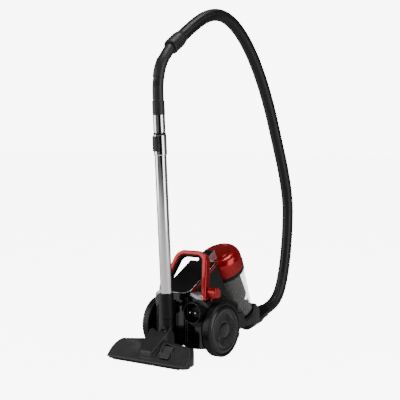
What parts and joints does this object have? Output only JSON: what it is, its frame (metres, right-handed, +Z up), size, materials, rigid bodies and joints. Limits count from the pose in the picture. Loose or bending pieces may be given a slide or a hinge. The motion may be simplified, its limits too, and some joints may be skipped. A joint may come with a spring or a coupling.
{
  "type": "canister vacuum cleaner",
  "caption": "Bagless canister vacuum cleaner on two large wheels, with a tilted clear dust cup, an arched carry handle, a telescopic wand parked upright behind it and a ribbed hose.",
  "frame": {"origin": "on the floor, in the middle of the cleaner without its hose", "axes": "+X is the cleaner's right, +Y its front where the hose enters, +Z is up"},
  "size_m": [0.29, 0.7961, 1.0463],
  "materials": {
    "gloss_black": "gloss",
    "satin_black": "satin",
    "metallic_red": "metallic gloss",
    "silver": "satin chrome",
    "gray_satin": "satin",
    "dark_gray": "satin",
    "soft_black": "matt",
    "tyre": "matt",
    "clear": "clear plastic",
    "chromed_tube": "polished",
    "steel": "plain",
    "brass": "nickelled",
    "winding": "lacquered copper wire",
    "filter_felt": "felt",
    "circuit": "board",
    "bristle": "bristle",
    "hose_black": "ribbed"
  },
  "bodies": {
    "housing": {"rear_cover": "gloss_black", "upper_housing": "gloss_black", "chassis": "satin_black", "deck_cover": "satin_black", "silver_trims": "silver", "recess_bezel": "gray_satin", "carry_handle": "metallic_red", "handle_lining": "soft_black", "plug_collar": "satin_black", "reel_spring_case": "dark_gray", "motor_can": "steel", "motor_mounts": "soft_black", "air_filters": "filter_felt", "power_controls": "circuit", "exhaust_grille": "satin_black", "inlet_elbow": "satin_black", "wheel_axles": "steel", "hose_lower": "hose_black"},
    "wheel_left": {"wheel_left_tyre": "tyre", "wheel_left_cap": "gloss_black"},
    "wheel_right": {"wheel_right_tyre": "tyre", "wheel_right_cap": "gloss_black"},
    "caster_fork": {"caster_fork": "gray_satin"},
    "caster_wheel": {"caster_wheel": "tyre"},
    "power_button": {"power_button": "metallic_red"},
    "rewind_button": {"rewind_button": "metallic_red"},
    "cup": {"cup_bottle": "clear", "seal_ring": "dark_gray", "cyclone": "dark_gray", "cup_filter": "filter_felt", "cup_lid": "metallic_red", "release_cheeks": "silver"},
    "cup_flap": {"cup_flap": "satin_black"},
    "release_button": {"release_button": "satin_black"},
    "plug": {"plug_body": "dark_gray", "plug_pins": "brass", "plug_lead": "soft_black"},
    "reel": {"reel_drum": "dark_gray", "reel_cable": "soft_black"},
    "rotor": {"motor_rotor": "winding"},
    "cuff": {"hose_cuff": "satin_black"},
    "wand_lower": {"wand_connector": "satin_black", "lower_tube": "chromed_tube", "telescope_collar": "chromed_tube", "collar_ring": "satin_black"},
    "lock_slider": {"lock_slider": "satin_black"},
    "wand_upper": {"upper_tube": "chromed_tube", "handle_pipe": "satin_black", "handle_grip": "dark_gray", "hose_upper": "hose_black"},
    "bleed_slider": {"bleed_slider": "dark_gray"},
    "hose_swivel": {"hose_swivel": "satin_black"},
    "neck": {"neck_elbow": "satin_black"},
    "head": {"head_shell": "dark_gray", "head_cover": "dark_gray", "sole_plate": "satin_black"},
    "pedal": {"pedal": "gray_satin"},
    "brushes": {"brush_strips": "bristle"},
    "roller_left": {"roller_left": "soft_black"},
    "roller_right": {"roller_right": "soft_black"}
  },
  "joints": [
    {"name": "wheel_left_spin", "type": "hinge", "parent": "housing", "child": "wheel_left", "pos_m": [-0.114, -0.0928, 0.081], "axis": [1, 0, 0], "continuous": true},
    {"name": "wheel_right_spin", "type": "hinge", "parent": "housing", "child": "wheel_right", "pos_m": [0.114, -0.0928, 0.081], "axis": [1, 0, 0], "continuous": true},
    {"name": "caster_swivel", "type": "hinge", "parent": "housing", "child": "caster_fork", "pos_m": [0, 0.1562, 0.05], "axis": [0, 0, 1], "continuous": true},
    {"name": "caster_roll", "type": "hinge", "parent": "caster_fork", "child": "caster_wheel", "pos_m": [0, 0.1442, 0.018], "axis": [1, 0, 0], "continuous": true},
    {"name": "power_press", "type": "slide", "parent": "housing", "child": "power_button", "axis": [0, 0, -1], "range_m": [0, 0.002], "stiffness_N_per_m": 800, "springref_m": -0.002},
    {"name": "rewind_press", "type": "slide", "parent": "housing", "child": "rewind_button", "axis": [0, 0, -1], "range_m": [0, 0.002], "stiffness_N_per_m": 800, "springref_m": -0.002},
    {"name": "cup_lift", "type": "slide", "parent": "housing", "child": "cup", "axis": [0, 0, 1], "range_m": [0, 0.2]},
    {"name": "flap_swing", "type": "hinge", "parent": "cup", "child": "cup_flap", "pos_m": [0, 0.20297, 0.11873], "axis": [1, 0, 0], "range_deg": [0, 70]},
    {"name": "release_press", "type": "slide", "parent": "cup", "child": "release_button", "axis": [0, 0.5, -0.866], "range_m": [0, 0.0035], "stiffness_N_per_m": 800, "springref_m": -0.002},
    {"name": "plug_pull", "type": "slide", "parent": "housing", "child": "plug", "axis": [0, -1, 0], "range_m": [0, 0.06]},
    {"name": "reel_spin", "type": "hinge", "parent": "housing", "child": "reel", "pos_m": [0.0666, -0.0588, 0.092], "axis": [1, 0, 0], "range_deg": [-90, 90]},
    {"name": "fan_spin", "type": "hinge", "parent": "housing", "child": "rotor", "pos_m": [-0.034, -0.0328, 0.088], "axis": [0, 1, 0], "continuous": true},
    {"name": "cuff_swivel", "type": "hinge", "parent": "housing", "child": "cuff", "pos_m": [0, 0.2692, 0.0615], "axis": [0, 0.9781, 0.2079], "continuous": true},
    {"name": "wand_park", "type": "slide", "parent": "housing", "child": "wand_lower", "axis": [0, -1, 0], "range_m": [0, 0.12]},
    {"name": "telescope", "type": "slide", "parent": "wand_lower", "child": "wand_upper", "axis": [0, -0.0645, 0.9979], "range_m": [0, 0.355]},
    {"name": "lock_slide", "type": "slide", "parent": "wand_lower", "child": "lock_slider", "axis": [0, 0.0645, -0.9979], "range_m": [0, 0.008], "stiffness_N_per_m": 400, "springref_m": -0.002},
    {"name": "bleed_slide", "type": "slide", "parent": "wand_upper", "child": "bleed_slider", "axis": [0, 0.0698, 0.9976], "range_m": [0, 0.006]},
    {"name": "hose_swivel_turn", "type": "hinge", "parent": "wand_upper", "child": "hose_swivel", "pos_m": [0, -0.1918, 0.91], "axis": [0, 0.83, 0.5577], "continuous": true},
    {"name": "neck_swivel", "type": "hinge", "parent": "wand_lower", "child": "neck", "pos_m": [0, -0.20648, 0.11875], "axis": [0, -0.0645, 0.9979], "range_deg": [-15, 15]},
    {"name": "head_pitch", "type": "hinge", "parent": "neck", "child": "head", "pos_m": [0, -0.2388, 0.057], "axis": [1, 0, 0], "range_deg": [-5, 65]},
    {"name": "pedal_rock", "type": "hinge", "parent": "head", "child": "pedal", "pos_m": [0.062, -0.2888, 0.03855], "axis": [1, 0, 0], "range_deg": [0, 5]},
    {"name": "brush_lift", "type": "slide", "parent": "head", "child": "brushes", "axis": [0, 0, 1], "range_m": [0, 0.003]},
    {"name": "roller_left_spin", "type": "hinge", "parent": "head", "child": "roller_left", "pos_m": [-0.093, -0.2638, 0.009], "axis": [1, 0, 0], "continuous": true},
    {"name": "roller_right_spin", "type": "hinge", "parent": "head", "child": "roller_right", "pos_m": [0.093, -0.2638, 0.009], "axis": [1, 0, 0], "continuous": true}
  ],
  "couplings": [
    {"joint": "flap_swing", "follows": "cup_lift", "rad_per_m": 6},
    {"joint": "reel_spin", "follows": "plug_pull", "rad_per_m": 22.2},
    {"joint": "brush_lift", "follows": "pedal_rock", "m_per_rad": 0.0343}
  ]
}
